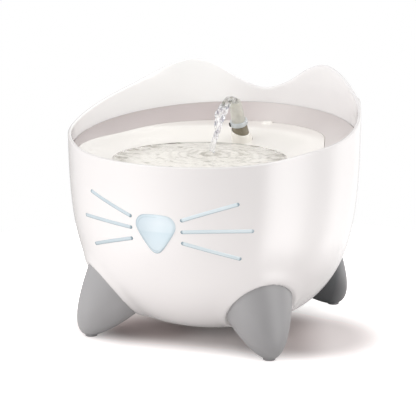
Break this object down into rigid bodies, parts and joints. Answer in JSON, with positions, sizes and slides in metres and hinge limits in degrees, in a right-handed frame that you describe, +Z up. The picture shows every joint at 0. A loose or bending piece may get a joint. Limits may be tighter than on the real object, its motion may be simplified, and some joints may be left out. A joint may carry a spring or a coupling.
{
  "type": "pet water fountain",
  "caption": "Round cat-faced pet water fountain: glossy white bowl with ears, lift-out dish, leaning spout, pump and filter inside.",
  "frame": {"origin": "on the floor under the bowl's axis, in the middle of the footprint", "axes": "+Z up, -Y towards the nose at the front, +X to the right seen from the front"},
  "size_m": [0.244, 0.2441, 0.2114],
  "materials": {
    "bowl_white": "glossy",
    "foot_grey": "satin",
    "pad_rubber": "matt",
    "face_blue": "glossy",
    "ring_taupe": "satin",
    "dish_cream": "glossy",
    "stem_olive": "glossy",
    "clear_plastic": "clear",
    "filter_white": "satin",
    "foam_grey": "open foam",
    "carbon_black": "granules in fleece",
    "pump_dark": "satin",
    "magnet_grey": "ferrite, matt",
    "shaft_ceramic": "polished",
    "slider_grey": "satin",
    "core_steel": "laminated",
    "coil_copper": "enamelled wire"
  },
  "bodies": {
    "bowl": {"reservoir_shell": "bowl_white", "foot_front_left": "foot_grey", "foot_front_right": "foot_grey", "foot_rear_left": "foot_grey", "foot_rear_right": "foot_grey", "foot_pads": "pad_rubber", "nose_lens": "face_blue", "whisker_left_upper": "face_blue", "whisker_left_middle": "face_blue", "whisker_left_lower": "face_blue", "whisker_right_upper": "face_blue", "whisker_right_middle": "face_blue", "whisker_right_lower": "face_blue", "cable_grommet": "pad_rubber"},
    "dish": {"splash_ring": "ring_taupe", "drinking_dish": "dish_cream", "spout_tower": "dish_cream", "spout_stem": "stem_olive"},
    "nozzle": {"spout_nozzle": "clear_plastic", "spout_collar": "clear_plastic", "nozzle_stop": "pad_rubber", "nozzle_seal": "pad_rubber"},
    "filter": {"filter_tray": "filter_white", "filter_lid": "filter_white", "foam_pad": "foam_grey", "carbon_pad": "carbon_black"},
    "pump": {"pump_body": "pump_dark", "riser_tube": "clear_plastic", "riser_seal": "pad_rubber", "impeller_shaft": "shaft_ceramic", "shaft_bush_rear": "pad_rubber", "suction_cups": "pad_rubber", "stator_core": "core_steel", "stator_coil": "coil_copper", "pump_gland": "pad_rubber"},
    "cover": {"pump_cover": "pump_dark", "shaft_bush_front": "pad_rubber"},
    "rotor": {"impeller": "filter_white", "rotor_magnet": "magnet_grey"},
    "slider": {"flow_slider": "slider_grey"}
  },
  "joints": [
    {"name": "dish_lift", "type": "slide", "parent": "bowl", "child": "dish", "axis": [0, 0, 1], "range_m": [0, 0.24]},
    {"name": "spout_swivel", "type": "hinge", "parent": "dish", "child": "nozzle", "pos_m": [0.00632, 0.04865, 0.1495], "axis": [-0.0294, -0.3735, 0.9272], "range_deg": [-40, 40]},
    {"name": "filter_lift", "type": "slide", "parent": "bowl", "child": "filter", "axis": [0, 0, 1], "range_m": [0, 0.144]},
    {"name": "pump_lift", "type": "slide", "parent": "bowl", "child": "pump", "axis": [0, 0, 1], "range_m": [0, 0.06]},
    {"name": "cover_pull", "type": "slide", "parent": "pump", "child": "cover", "axis": [0, 1, 0], "range_m": [0, 0.012]},
    {"name": "impeller_spin", "type": "hinge", "parent": "pump", "child": "rotor", "pos_m": [0.00632, 0.04865, 0.034], "axis": [0, 1, 0], "continuous": true},
    {"name": "flow_slide", "type": "slide", "parent": "cover", "child": "slider", "axis": [1, 0, 0], "range_m": [0, 0.008]}
  ],
  "couplings": [
    {"joint": "filter_lift", "follows": "dish_lift", "ratio": 0.6},
    {"joint": "pump_lift", "follows": "dish_lift", "ratio": 0.25},
    {"joint": "cover_pull", "follows": "dish_lift", "ratio": 0.05}
  ]
}
